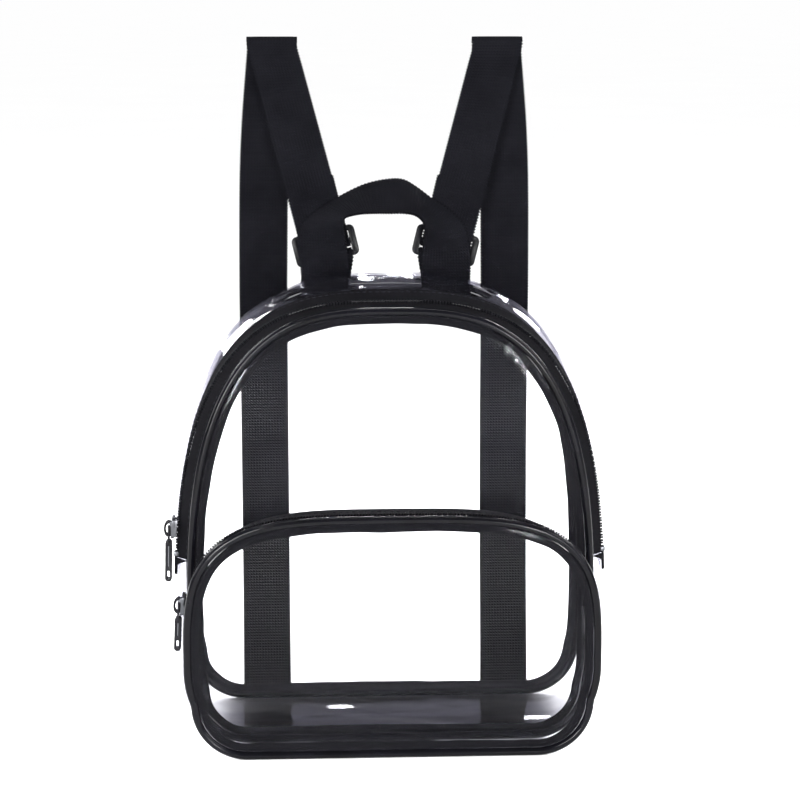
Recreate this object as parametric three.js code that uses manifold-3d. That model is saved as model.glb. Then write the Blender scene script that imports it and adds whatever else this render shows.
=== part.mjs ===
// Clear stadium backpack, in millimetres: X to the right seen from the front, Y to the back, Z up
// While it is built, Z is 0 at the lowest bead and Y is 0 in the seam of the main front panel.
import * as THREE from "three";
import { mergeVertices } from "three/addons/utils/BufferGeometryUtils.js";
import Module from "manifold-3d";

// Driving dimensions: main bag
const mainHalfWidth = 100;
const mainBaseDraw = 2.5;
const mainTop = 219.5;
const mainWidestZ = 50;
const mainPower = 2.95;
const mainDepth = 70;
const mainSideSwell = 8.5;
const mainCrownRise = 13;
const mainBulge = 2.5;
const backBulge = 2;

// Driving dimensions: front pocket
const pocketOverhang = 0.9;
const pocketBaseDraw = 3.4;
const pocketTop = 121;
const pocketWidestZ = 45;
const pocketPower = 3.75;
const pocketDepth = 24;
const pocketRearInset = 4.6;
const pocketBulge = 4;

// Driving dimensions: walls, seams and clearance
const cornerRadius = 26;
const wall = 1;
const gap = 0.3;
const beadRadius = 2;
const bindingWidth = 7;
const bindingThickness = 1.4;
const bindingStep = 0.7;

// Driving dimensions: zips
const mainZipEndZ = 95;
const pocketZipEndZ = 70;
const zipTapeWidth = 6.5;
const teethRadius = 1.2;
const zipEndLength = 9;
const mainSliderZ = 110;
const pocketSliderZ = 77;
const sliderLength = 11;
const sliderWidth = 8;
const sliderThickness = 1.6;
const bailLength = 7.6;
const bailWidth = 2;
const bailWire = 0.9;
const bailClear = 2.6;
const plateSink = 0.4;
const mainPullSwing = 3;
const pocketPullSwing = 5;
const mainPullLength = 26;
const pocketPullLength = 24;
const pullWidth = 4.2;
const pullThickness = 1.2;
const pullEyeWidth = 5.2;

// Driving dimensions: webbing and its hardware
const webbingWidth = 25;
const webbingThickness = 1.6;
const handleX = 31;
const handleRise = 50.5;
const handleTilt = 32;
const tailLength = 10;
const glideRise = 24.5;
const glideForward = 4;
const glideTilt = 13.5;
const glideBar = 2.4;
const glideSlot = 4.4;
const glideEnd = 3.4;
const strapTopX = 57.5;
const strapTopBack = 5;
const strapRise = 130.5;
const strapFoldRadius = 3.2;
const strapAnchorX = 63.5;
const strapBow = 15;
const strapTailLength = 34;

// Mesh counts
const archSteps = 30;
const sillSteps = 20;
const beadSides = 6;
const cornerSamples = 16;
const sideSamples = 8;
const crownSamples = 80;
const handleSteps = 44;
const rearLegSteps = 16;
const frontLegSteps = 8;
const foldSteps = 7;
const wrapSteps = 6;

// Places worked out from the sizes above
const pocketHalfWidth = mainHalfWidth + pocketOverhang;
const handleTopZ = mainTop + handleRise;
const glideZ = mainTop + glideRise;
const glideY = mainDepth - glideForward;
const strapTopY = mainDepth + strapTopBack;
const strapTopZ = mainTop + strapRise;
const panelInset = beadRadius + gap;
const bindingInset = panelInset + bindingStep;
const bindingFromPanel = wall / 2 + gap;
const webbingPitch = webbingThickness + gap;
const seamStackRear = mainDepth - bindingFromPanel - bindingThickness - gap;
const tabRearY = seamStackRear - webbingThickness / 2;
const tabFrontY = tabRearY - webbingPitch;
const handleSeamY = tabFrontY - webbingPitch;
const glideHeight = 3 * glideBar + 2 * glideSlot;
const wrapRadius = glideBar / 2 + gap + webbingThickness / 2;
const handleY = glideY - wrapRadius - webbingPitch - gap;

// Main gusset from the front seam to the back seam: depth, side swell and crown rise as shares
const mainSections = [
  { depth: 0, side: 0, crown: 0 },
  { depth: 0.14, side: 0.88, crown: 0.25 },
  { depth: 0.3, side: 0.97, crown: 0.72 },
  { depth: 0.5, side: 1, crown: 1 },
  { depth: 0.75, side: 0.85, crown: 0.92 },
  { depth: 1, side: 0.47, crown: 0.5 },
];

// Pocket gusset from its front seam to the main panel: depth and inset as shares
const pocketSections = [
  { depth: 0, inset: 0 },
  { depth: 0.45, inset: -0.2 },
  { depth: 0.75, inset: 0.35 },
  { depth: 1, inset: 1 },
];

// Reads one column of a section table between its rows
function tableValue(table, column, depth) {
  const row = Math.max(1, table.findIndex((r) => r.depth >= depth - 1e-9));
  const [from, to] = [table[row - 1], table[row]];
  const share = (depth - from.depth) / (to.depth - from.depth);
  return THREE.MathUtils.lerp(from[column], to[column], share);
}

// Outline of the main bag at a depth behind its front seam
function mainOutline(depth, inset = 0) {
  const share = depth / mainDepth;
  const side = mainSideSwell * tableValue(mainSections, "side", share) - inset;
  const crown = mainCrownRise * tableValue(mainSections, "crown", share) - inset;
  return {
    half: mainHalfWidth + side,
    base: mainHalfWidth - mainBaseDraw + side,
    top: mainTop + crown,
    widest: mainWidestZ,
    bottom: beadRadius + inset,
    corner: cornerRadius - inset,
    power: mainPower,
  };
}

// Outline of the pocket at a depth behind its front seam
function pocketOutline(depth, inset = 0) {
  const rear = pocketRearInset * tableValue(pocketSections, "inset", depth / pocketDepth);
  const step = inset + rear;
  return {
    half: pocketHalfWidth - step,
    base: pocketHalfWidth - pocketBaseDraw - step,
    top: pocketTop - inset,
    widest: pocketWidestZ,
    bottom: beadRadius + inset + Math.max(0, rear),
    corner: cornerRadius - inset,
    power: pocketPower,
  };
}

// Right half of an outline, from the bottom centre to the crown, as close points [x, z]
function halfOutline(o) {
  const points = [[0, o.bottom]];
  const centre = [o.base - o.corner, o.bottom + o.corner];
  for (let i = 0; i <= cornerSamples; i++) {
    const a = (i / cornerSamples) * (Math.PI / 2);
    points.push([centre[0] + o.corner * Math.sin(a), centre[1] - o.corner * Math.cos(a)]);
  }
  for (let i = 1; i <= sideSamples; i++) {
    const z = THREE.MathUtils.lerp(centre[1], o.widest, i / sideSamples);
    const below = (o.widest - z) / (o.widest - centre[1]);
    points.push([o.half - (o.half - o.base) * below * below, z]);
  }
  for (let i = 1; i <= crownSamples; i++) {
    const a = (i / crownSamples) * (Math.PI / 2);
    const rise = (o.top - o.widest) * Math.sin(a) ** (2 / o.power);
    points.push([o.half * Math.max(0, Math.cos(a)) ** (2 / o.power), o.widest + rise]);
  }
  return points;
}

// Cuts the right half at a height: what is above it, or what is below it
function cutHalf(points, z, above) {
  const at = points.findIndex((p) => p[1] >= z);
  const [a, b] = [points[at - 1], points[at]];
  const share = (z - a[1]) / (b[1] - a[1]);
  const edge = [THREE.MathUtils.lerp(a[0], b[0], share), z];
  return above ? [edge, ...points.slice(at)] : [...points.slice(0, at), edge];
}

// Distance of an outline from the middle at a height
function halfWidthAt(o, z) {
  return cutHalf(halfOutline(o), z, true)[0][0];
}

// Steps along a half outline that get closer where it turns, and their mirror image on the left
function turningSteps(half, steps, toPlace) {
  const line = half.map((p) => new THREE.Vector2(...p));
  const legs = line.slice(1).map((p, i) => p.clone().sub(line[i]));
  const turns = legs.map((leg, i) => (i === 0 ? 0 : leg.angleTo(legs[i - 1])));
  const total = (list) => list.reduce((a, b) => a + b, 0);
  const [wholeLength, wholeTurn] = [total(legs.map((leg) => leg.length())), total(turns)];
  const reach = [0];
  legs.forEach((leg, i) => reach.push(reach[i] + leg.length() / wholeLength + turns[i] / wholeTurn));
  const right = Array.from({ length: steps / 2 + 1 }, (_, i) => {
    const want = (reach[reach.length - 1] * i * 2) / steps;
    const at = Math.max(1, reach.findIndex((r) => r >= want - 1e-9));
    const share = (want - reach[at - 1]) / (reach[at] - reach[at - 1]);
    return line[at - 1].clone().lerp(line[at], share);
  });
  const left = right.map((p) => new THREE.Vector2(-p.x, p.y));
  return { right: right.map(toPlace), left: left.map(toPlace) };
}

// Over the crown from left to right, starting and ending at height z
function archPath(o, y, z, steps = archSteps) {
  const { right, left } = turningSteps(cutHalf(halfOutline(o), z, true), steps, (p) => [p.x, y, p.y]);
  return [...left, ...right.reverse().slice(1)].map((p) => new THREE.Vector3(...p));
}

// Round the bottom from right to left, starting and ending at height z
function sillPath(o, y, z, steps = sillSteps) {
  const { right, left } = turningSteps(cutHalf(halfOutline(o), z, false), steps, (p) => [p.x, y, p.y]);
  return [...right.reverse(), ...left.slice(1)].map((p) => new THREE.Vector3(...p));
}

// The whole outline, clockwise seen from the front
function ringPath(o, y, z) {
  return [...archPath(o, y, z).slice(0, -1), ...sillPath(o, y, z).slice(0, -1)];
}

// Collects triangles into a closed solid whose faces point out
function solidFrom(points, faces) {
  let volume = 0;
  for (const [a, b, c] of faces) {
    volume += points[a].dot(new THREE.Vector3().crossVectors(points[b], points[c]));
  }
  const order = volume < 0 ? faces.map(([a, b, c]) => [a, c, b]) : faces;
  const geometry = new THREE.BufferGeometry().setFromPoints(points);
  geometry.setIndex(order.flat());
  return geometry;
}

// Joins two rows of points with triangles
function bridge(faces, rowA, rowB, closed) {
  const count = closed ? rowA.length : rowA.length - 1;
  for (let i = 0; i < count; i++) {
    const next = (i + 1) % rowA.length;
    faces.push([rowA[i], rowA[next], rowB[next]], [rowA[i], rowB[next], rowB[i]]);
  }
}

// A wall of even thickness behind a grid of rows; its outer face is the grid itself
function wallSolid(rows, thickness, closed = false) {
  const count = rows[0].length;
  const at = (j, i) => rows[j][closed ? (i + count) % count : THREE.MathUtils.clamp(i, 0, count - 1)];
  const points = [];
  const outer = [];
  const inner = [];
  rows.forEach((row, j) => {
    outer.push(row.map((p) => points.push(p.clone()) - 1));
    inner.push(row.map((p, i) => {
      const along = new THREE.Vector3().subVectors(at(j, i + 1), at(j, i - 1));
      const [before, after] = [Math.max(0, j - 1), Math.min(rows.length - 1, j + 1)];
      const across = new THREE.Vector3().subVectors(at(after, i), at(before, i));
      const outward = new THREE.Vector3().crossVectors(along, across).normalize();
      return points.push(p.clone().addScaledVector(outward, -thickness)) - 1;
    }));
  });
  const faces = [];
  for (let j = 1; j < rows.length; j++) {
    bridge(faces, outer[j - 1], outer[j], closed);
    bridge(faces, inner[j], inner[j - 1], closed);
  }
  const last = rows.length - 1;
  bridge(faces, inner[0], outer[0], closed);
  bridge(faces, outer[last], inner[last], closed);
  if (!closed) {
    const [start, end] = [(r) => r[0], (r) => r[count - 1]];
    bridge(faces, outer.map(start), inner.map(start), false);
    bridge(faces, inner.map(end), outer.map(end), false);
  }
  return solidFrom(points, faces);
}

// Sweeps a flat section along frames; each frame holds a place and two section axes
function sweepSolid(frames, section, closed = false) {
  const points = [];
  const rows = frames.map((f) => section.map(([u, v]) => {
    return points.push(f.at.clone().addScaledVector(f.u, u).addScaledVector(f.v, v)) - 1;
  }));
  const faces = [];
  for (let j = 1; j < rows.length; j++) bridge(faces, rows[j - 1], rows[j], true);
  if (closed) {
    bridge(faces, rows[rows.length - 1], rows[0], true);
    return solidFrom(points, faces);
  }
  const last = rows[rows.length - 1];
  for (let i = 1; i < section.length - 1; i++) {
    faces.push([rows[0][0], rows[0][i + 1], rows[0][i]], [last[0], last[i], last[i + 1]]);
  }
  return solidFrom(points, faces);
}

// Section axes along an outline: u points out of the bag, v points to the back
function outlineFrames(path, closed) {
  const count = path.length;
  const at = (i) => path[closed ? (i + count) % count : THREE.MathUtils.clamp(i, 0, count - 1)];
  const back = new THREE.Vector3(0, 1, 0);
  return path.map((p, i) => {
    const along = new THREE.Vector3().subVectors(at(i + 1), at(i - 1));
    return { at: p, u: new THREE.Vector3().crossVectors(along, back).normalize(), v: back };
  });
}

function roundSection(radius, sides) {
  return Array.from({ length: sides }, (_, i) => {
    const a = ((i + 0.5) / sides) * 2 * Math.PI;
    return [radius * Math.cos(a), radius * Math.sin(a)];
  });
}

function boxSection(u0, u1, v0, v1) {
  return [[u0, v0], [u1, v0], [u1, v1], [u0, v1]];
}

// A clear panel: rings of its outline drawn in to the middle, bulged, with an even wall
function panelSolid(ring, bulge, facing) {
  const shares = [1, 0.9, 0.68, 0.36];
  const middle = new THREE.Vector3();
  ring.forEach((p) => middle.addScaledVector(p, 1 / ring.length));
  const points = [];
  const faces = [];
  const sides = [wall / 2, -wall / 2].map((offset) => {
    const place = (p) => {
      const y = p.y + facing * bulge(p.x, p.z) - offset;
      return points.push(new THREE.Vector3(p.x, y, p.z)) - 1;
    };
    const rows = shares.map((s) => ring.map((p) => place(new THREE.Vector3().lerpVectors(middle, p, s))));
    return { rows, centre: place(middle) };
  });
  sides.forEach(({ rows, centre }, side) => {
    const pair = (a, b) => (side === 0 ? bridge(faces, a, b, true) : bridge(faces, b, a, true));
    for (let j = 1; j < rows.length; j++) pair(rows[j - 1], rows[j]);
    const last = rows[rows.length - 1];
    last.forEach((a, i) => {
      const b = last[(i + 1) % last.length];
      faces.push(side === 0 ? [a, b, centre] : [b, a, centre]);
    });
  });
  bridge(faces, sides[1].rows[0], sides[0].rows[0], true);
  return solidFrom(points, faces);
}

// A smooth swell that is 0 at the edges of a span and 1 in its middle
function swell(value, from, to) {
  const share = THREE.MathUtils.clamp((value - from) / (to - from), 0, 1);
  return Math.sin(Math.PI * share) ** 2;
}

// Closed mesh to solid and back, for the few cuts
const library = await Module();
library.setup();

function toManifold(geometry) {
  const bare = geometry.clone();
  bare.deleteAttribute("normal");
  bare.deleteAttribute("uv");
  const merged = mergeVertices(bare, 1e-4);
  const mesh = new library.Mesh({
    numProp: 3,
    vertProperties: new Float32Array(merged.attributes.position.array),
    triVerts: new Uint32Array(merged.index.array),
  });
  return new library.Manifold(mesh);
}

function fromManifold(solid) {
  const mesh = solid.getMesh();
  const geometry = new THREE.BufferGeometry();
  geometry.setAttribute("position", new THREE.BufferAttribute(new Float32Array(mesh.vertProperties), 3));
  geometry.setIndex(new THREE.BufferAttribute(new Uint32Array(mesh.triVerts), 1));
  return geometry;
}

function joined(...geometries) {
  const [first, ...rest] = geometries.map(toManifold);
  return fromManifold(rest.reduce((all, one) => all.add(one), first));
}

function cutAway(geometry, ...tools) {
  const cuts = tools.map(toManifold);
  return fromManifold(cuts.reduce((left, cut) => left.subtract(cut), toManifold(geometry)));
}

function boxAt(x0, x1, y0, y1, z0, z1) {
  const box = new THREE.BoxGeometry(x1 - x0, y1 - y0, z1 - z0);
  return box.translate((x0 + x1) / 2, (y0 + y1) / 2, (z0 + z1) / 2);
}

// Materials
const finish = (color, roughness, metalness = 0, opacity = 1) =>
  new THREE.MeshStandardMaterial({ color, roughness, metalness, opacity, transparent: opacity < 1 });
const clearVinyl = () => finish(0xd8d6e2, 0.12, 0, 0.25);
const glossBlack = () => finish(0x0c0c10, 0.25);
const blackTape = () => finish(0x121215, 0.85);
const blackTeeth = () => finish(0x17171b, 0.45);
const blackWebbing = () => finish(0x0f0f13, 0.9);
const darkMetal = () => finish(0x2b2b30, 0.35, 0.9);
const blackPlastic = () => finish(0x0d0d10, 0.4);

const bag = new THREE.Group();
bag.position.set(0, -strapTopY, webbingThickness - strapTopZ);

function addPiece(name, geometry, material, parent = bag) {
  const mesh = new THREE.Mesh(geometry, material);
  mesh.name = name;
  parent.add(mesh);
  return mesh;
}

// Clear panels
function mainFrontPanel() {
  const lift = (x, z) => {
    const across = swell(x, -mainHalfWidth, mainHalfWidth);
    return mainBulge * across * swell(z, pocketTop + beadRadius, mainTop);
  };
  addPiece("main_front_panel", panelSolid(ringPath(mainOutline(0, panelInset), 0, mainZipEndZ), lift, -1),
    clearVinyl());
}

function backPanel() {
  const lift = (x, z) => {
    return backBulge * swell(x, -mainHalfWidth, mainHalfWidth) * swell(z, 0, mainTop);
  };
  const ring = ringPath(mainOutline(mainDepth, panelInset), mainDepth, mainZipEndZ);
  addPiece("back_panel", panelSolid(ring, lift, 1), clearVinyl());
}

function pocketPanel() {
  const lift = (x, z) => {
    return pocketBulge * swell(x, -pocketHalfWidth, pocketHalfWidth) * swell(z, 0, pocketTop);
  };
  const ring = ringPath(pocketOutline(0, panelInset), -pocketDepth, pocketZipEndZ);
  addPiece("pocket_panel", panelSolid(ring, lift, -1), clearVinyl());
}

// Black bead and inner tape of a seam: along the outline at y, with the tape on the inner side
function seamTrim(name, outline, y, zipEndZ, inward) {
  const bead = outlineFrames(ringPath(outline(0), y, zipEndZ), true);
  addPiece(`${name}_piping`, sweepSolid(bead, roundSection(beadRadius, beadSides), true), glossBlack());
  const tape = outlineFrames(ringPath(outline(bindingInset), y, zipEndZ), true);
  const [near, far] = [bindingFromPanel * inward, (bindingFromPanel + bindingThickness) * inward];
  const section = boxSection(-bindingWidth, 0, Math.min(near, far), Math.max(near, far));
  addPiece(`${name}_binding`, sweepSolid(tape, section, true), blackTape());
}

// Rows of a gusset between two depths, made by a path function at each depth
function gussetRows(outline, y0, path, depths, z) {
  return depths.map((depth) => path(outline(depth), y0 + depth, z));
}

// Evenly spaced depths, both ends included
function depthSteps(from, to, steps) {
  return Array.from({ length: steps + 1 }, (_, i) => THREE.MathUtils.lerp(from, to, i / steps));
}

// A zip over the crown: front tape, teeth, rear tape and a black end tab at each side
// The rear tape is as wide as the front one unless it has to reach a given depth.
function zip(name, outline, y0, endZ, frontFrom, rearReach) {
  const teethAt = frontFrom + zipTapeWidth + gap + teethRadius;
  const rearFrom = teethAt + teethRadius + gap;
  const rearTo = rearReach ?? rearFrom + zipTapeWidth;
  const tape = (from, to, steps) =>
    wallSolid(gussetRows(outline, y0, archPath, depthSteps(from, to, steps), endZ), wall);
  addPiece(`${name}_zip_tape_front`, tape(frontFrom, frontFrom + zipTapeWidth, 2), blackTape());
  addPiece(`${name}_zip_tape_rear`, tape(rearFrom, rearTo, 2), blackTape());
  const teeth = outlineFrames(archPath(outline(teethAt), y0 + teethAt, endZ), false);
  addPiece(`${name}_zip_teeth`, sweepSolid(teeth, roundSection(teethRadius, 6)), blackTeeth());
  const depths = depthSteps(frontFrom, rearTo, 4);
  const tabRows = depths.map((depth) => [endZ - zipEndLength, endZ - gap].map((z) => {
    return new THREE.Vector3(-halfWidthAt(outline(depth), z), y0 + depth, z);
  }));
  const mirrored = tabRows.map((row) => row.map((p) => new THREE.Vector3(-p.x, p.y, p.z)).reverse());
  addPiece(`${name}_zip_end_left`, wallSolid(tabRows, wall), blackTape());
  addPiece(`${name}_zip_end_right`, wallSolid(mirrored, wall), blackTape());
  return { teethAt, rearTo };
}

// Slider and its swinging pull on the left side of a zip, at height z
// The seat clears the tapes at both sides of the slider, where the gusset swells past the teeth.
function zipSlider(name, outline, y0, teethAt, z, pullLength, pullSwing) {
  const depths = [-1, 0, 1].map((side) => teethAt + (side * sliderWidth) / 2);
  const edge = (height) => -Math.max(...depths.map((depth) => halfWidthAt(outline(depth), height)));
  const rise = sliderLength / 2;
  const lean = Math.atan2(edge(z + rise) - edge(z - rise), sliderLength);
  const seat = new THREE.Group();
  seat.position.set(edge(z), y0 + teethAt, z);
  seat.rotation.y = lean;
  bag.add(seat);
  // In the seat, X points into the bag and the teeth run along Z
  const plateNear = -teethRadius - gap;
  const plateFar = plateNear - sliderThickness;
  const barRadius = pullThickness / 2;
  const pivot = plateFar - bailClear / 2;
  const bailInner = plateFar - bailClear;
  const bailOuter = bailInner - bailWire;
  const plate = boxAt(plateFar, plateNear, -sliderWidth / 2, sliderWidth / 2, -rise, rise);
  const flange = (side) => {
    const inner = side * (teethRadius + gap);
    const outer = side * (sliderWidth / 2);
    const [near, far] = [Math.min(inner, outer), Math.max(inner, outer)];
    return boxAt(plateNear - plateSink, -gap, near, far, -rise, rise);
  };
  const bail = cutAway(
    boxAt(bailOuter, plateFar + plateSink, -bailWidth / 2, bailWidth / 2, -bailLength / 2, bailLength / 2),
    boxAt(bailInner, plateFar, -bailWidth, bailWidth, bailWire - bailLength / 2, bailLength / 2 - bailWire),
  );
  addPiece(`${name}_zip_slider`, joined(plate, flange(-1), flange(1), bail), darkMetal(), seat);
  const slotEnd = Math.hypot(bailOuter - pivot, bailLength / 2) + gap;
  const pull = addPiece(`${name}_zip_pull`, pullBlade(barRadius, slotEnd, pullLength), darkMetal(), seat);
  pull.position.x = pivot;
  pull.rotation.y = -THREE.MathUtils.degToRad(pullSwing);
}

// The pull hangs beside the zip from a bar that runs to the back, through the slider's bail
function pullBlade(barRadius, slotEnd, length) {
  const eyeHalf = pullEyeWidth / 2;
  const slotHalf = bailWidth / 2 + 0.5;
  const eyeEnd = slotEnd + 2 * gap;
  const neck = eyeEnd + 1.4;
  const bodyHalf = pullWidth / 2;
  const outline = new THREE.Shape();
  outline.moveTo(-eyeHalf, barRadius);
  outline.lineTo(eyeHalf, barRadius);
  outline.lineTo(eyeHalf, -eyeEnd);
  outline.lineTo(bodyHalf * 0.55, -neck);
  outline.lineTo(bodyHalf, -neck - 1.5);
  outline.lineTo(bodyHalf, -length + bodyHalf);
  outline.absarc(0, -length + bodyHalf, bodyHalf, 0, -Math.PI, true);
  outline.lineTo(-bodyHalf, -neck - 1.5);
  outline.lineTo(-bodyHalf * 0.55, -neck);
  outline.lineTo(-eyeHalf, -eyeEnd);
  outline.closePath();
  const slot = new THREE.Path();
  slot.moveTo(-slotHalf, -barRadius);
  slot.lineTo(-slotHalf, -slotEnd);
  slot.lineTo(slotHalf, -slotEnd);
  slot.lineTo(slotHalf, -barRadius);
  slot.closePath();
  const hole = new THREE.Path();
  hole.absarc(0, -length + bodyHalf, bodyHalf * 0.42, 0, 2 * Math.PI, false);
  outline.holes.push(slot, hole);
  const depth = 2 * barRadius;
  const blade = new THREE.ExtrudeGeometry(outline, { depth, bevelEnabled: false, curveSegments: 6 });
  return blade.translate(0, 0, -depth / 2).rotateX(Math.PI / 2).rotateZ(Math.PI / 2);
}

// Webbing along frames: width along u, thickness along v
function webbing(name, frames) {
  const [w, t] = [webbingWidth / 2, webbingThickness / 2];
  addPiece(name, sweepSolid(frames, boxSection(-w, w, -t, t)), blackWebbing());
}

// Frames of a ribbon from its places and its width directions
function ribbonFrames(places, widths) {
  const count = places.length;
  return places.map((at, i) => {
    const [before, after] = [Math.max(i - 1, 0), Math.min(i + 1, count - 1)];
    const along = new THREE.Vector3().subVectors(places[after], places[before]);
    const v = new THREE.Vector3().crossVectors(along, widths[i]).normalize();
    const u = new THREE.Vector3().crossVectors(v, along).normalize();
    return { at, u, v };
  });
}

// Reads evenly spaced places off a smooth line through a few points
function smoothPlaces(points, steps) {
  return new THREE.CatmullRomCurve3(points, false, "centripetal").getSpacedPoints(steps);
}

// Handle over the crown: both legs face the front, the top lies back with its rear edge up
function grabHandle() {
  const seamZ = seamHeight(handleX);
  const rise = handleTopZ - seamZ;
  // From the left leg to the top: out as a share of handleX, up as a share of the rise, forward as a
  // share of half the webbing's width, and turn from facing front, 0, to lying back, 1
  const route = [
    { out: 1, up: 0, y: handleSeamY, forward: 0, turn: 0 },
    { out: 1, up: 0.2, y: handleY, forward: 0, turn: 0 },
    { out: 1, up: 0.45, y: handleY, forward: 0.08, turn: 0.04 },
    { out: 0.95, up: 0.66, y: handleY, forward: 0.36, turn: 0.2 },
    { out: 0.76, up: 0.83, y: handleY, forward: 0.72, turn: 0.48 },
    { out: 0.5, up: 0.93, y: handleY, forward: 0.72, turn: 0.75 },
    { out: 0.24, up: 0.985, y: handleY, forward: 0.6, turn: 0.93 },
    { out: 0, up: 1, y: handleY, forward: 0.55, turn: 1 },
  ];
  const tail = { out: 1, up: -tailLength / rise, y: handleSeamY, forward: 0, turn: 0 };
  const left = [tail, ...route];
  const right = left.slice(0, -1).reverse();
  const all = [...left.map((r) => ({ ...r, side: -1 })), ...right.map((r) => ({ ...r, side: 1 }))];
  const places = all.map((r) => {
    const y = r.y - (r.forward * webbingWidth) / 2;
    return new THREE.Vector3(r.side * r.out * handleX, y, seamZ + r.up * rise);
  });
  const tilt = THREE.MathUtils.degToRad(handleTilt);
  const topWidth = new THREE.Vector3(0, Math.cos(tilt), Math.sin(tilt));
  const widths = all.map((r) => {
    const legWidth = new THREE.Vector3(r.side, 0, 0);
    return legWidth.multiplyScalar(1 - r.turn).addScaledVector(topWidth, r.turn).normalize();
  });
  const line = new THREE.CatmullRomCurve3(places, false, "centripetal");
  const sway = new THREE.CatmullRomCurve3(widths, false, "centripetal");
  const at = Array.from({ length: handleSteps + 1 }, (_, i) => i / handleSteps);
  webbing("grab_handle", ribbonFrames(at.map((t) => line.getPoint(t)), at.map((t) => sway.getPoint(t))));
}

// Height of the back seam's outline at a distance from the middle
function seamHeight(x) {
  return halfOutline(mainOutline(mainDepth)).find((p) => p[1] > mainWidestZ && p[0] <= x)[1];
}

// A place in the plane of a tri-glide: u along the strap, v to the back
function glidePlace(side, u, v) {
  const tilt = THREE.MathUtils.degToRad(glideTilt);
  return new THREE.Vector3(side * (handleX + u * Math.sin(tilt)), glideY + v, glideZ + u * Math.cos(tilt));
}

function glideWidth(side) {
  const tilt = THREE.MathUtils.degToRad(glideTilt);
  return new THREE.Vector3(Math.cos(tilt), 0, -side * Math.sin(tilt));
}

// Tri-glide: a frame with three bars and two slots
function triGlide(name, side) {
  const slotHalf = webbingWidth / 2 + 2 * gap;
  const half = slotHalf + glideEnd;
  const tall = glideHeight / 2;
  const bevel = 0.5;
  const round = 2.5;
  const frame = new THREE.Shape();
  const [w, h] = [half - bevel, tall - bevel];
  frame.moveTo(-w + round, -h);
  frame.lineTo(w - round, -h);
  frame.absarc(w - round, -h + round, round, -Math.PI / 2, 0);
  frame.lineTo(w, h - round);
  frame.absarc(w - round, h - round, round, 0, Math.PI / 2);
  frame.lineTo(-w + round, h);
  frame.absarc(-w + round, h - round, round, Math.PI / 2, Math.PI);
  frame.lineTo(-w, -h + round);
  frame.absarc(-w + round, -h + round, round, Math.PI, 1.5 * Math.PI);
  for (const row of [-1, 1]) {
    const middle = (row * (glideBar + glideSlot)) / 2;
    const [x, z0, z1] = [slotHalf + bevel, middle - glideSlot / 2 - bevel, middle + glideSlot / 2 + bevel];
    const slot = new THREE.Path();
    slot.moveTo(-x, z0);
    slot.lineTo(-x, z1);
    slot.lineTo(x, z1);
    slot.lineTo(x, z0);
    slot.closePath();
    frame.holes.push(slot);
  }
  const depth = glideBar - 2 * bevel;
  const geometry = new THREE.ExtrudeGeometry(frame, {
    depth, bevelEnabled: true, bevelThickness: bevel, bevelSize: bevel, bevelSegments: 1, curveSegments: 3,
  });
  geometry.translate(0, 0, -depth / 2).rotateX(Math.PI / 2);
  const mesh = addPiece(name, geometry, blackPlastic());
  mesh.position.copy(glidePlace(side, 0, 0));
  mesh.rotation.y = side * THREE.MathUtils.degToRad(glideTilt);
}

// Half a turn of webbing round a bar, in the glide's plane; up is 1 over the bar, -1 under it
function wrapPlaces(side, u, up) {
  return Array.from({ length: wrapSteps + 1 }, (_, i) => {
    const a = (i / wrapSteps) * Math.PI;
    return glidePlace(side, u + up * wrapRadius * Math.sin(a), -wrapRadius * Math.cos(a));
  });
}

// Anchor tab: out of the back seam, over the glide's lower bar and back into the seam
function anchorTab(name, side) {
  const barU = -(glideBar + glideSlot);
  const seamZ = seamHeight(handleX);
  const at = (y, z) => new THREE.Vector3(side * handleX, y, z);
  const underU = -glideHeight / 2 - 2 * gap;
  const front = [at(tabFrontY, seamZ - tailLength), at(tabFrontY, seamZ + beadRadius)];
  const rear = [at(tabRearY, seamZ + beadRadius + gap), at(tabRearY, seamZ - tailLength)];
  const rise = glidePlace(side, underU, -wrapRadius);
  const fall = glidePlace(side, underU, wrapRadius);
  const places = [...front, rise, ...wrapPlaces(side, barU, 1), fall, ...rear];
  const flat = new THREE.Vector3(1, 0, 0);
  const tilted = glideWidth(side);
  const widths = places.map((_, i) => (i < 2 || i > places.length - 3 ? flat : tilted));
  webbing(name, ribbonFrames(places, widths));
}

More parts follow.
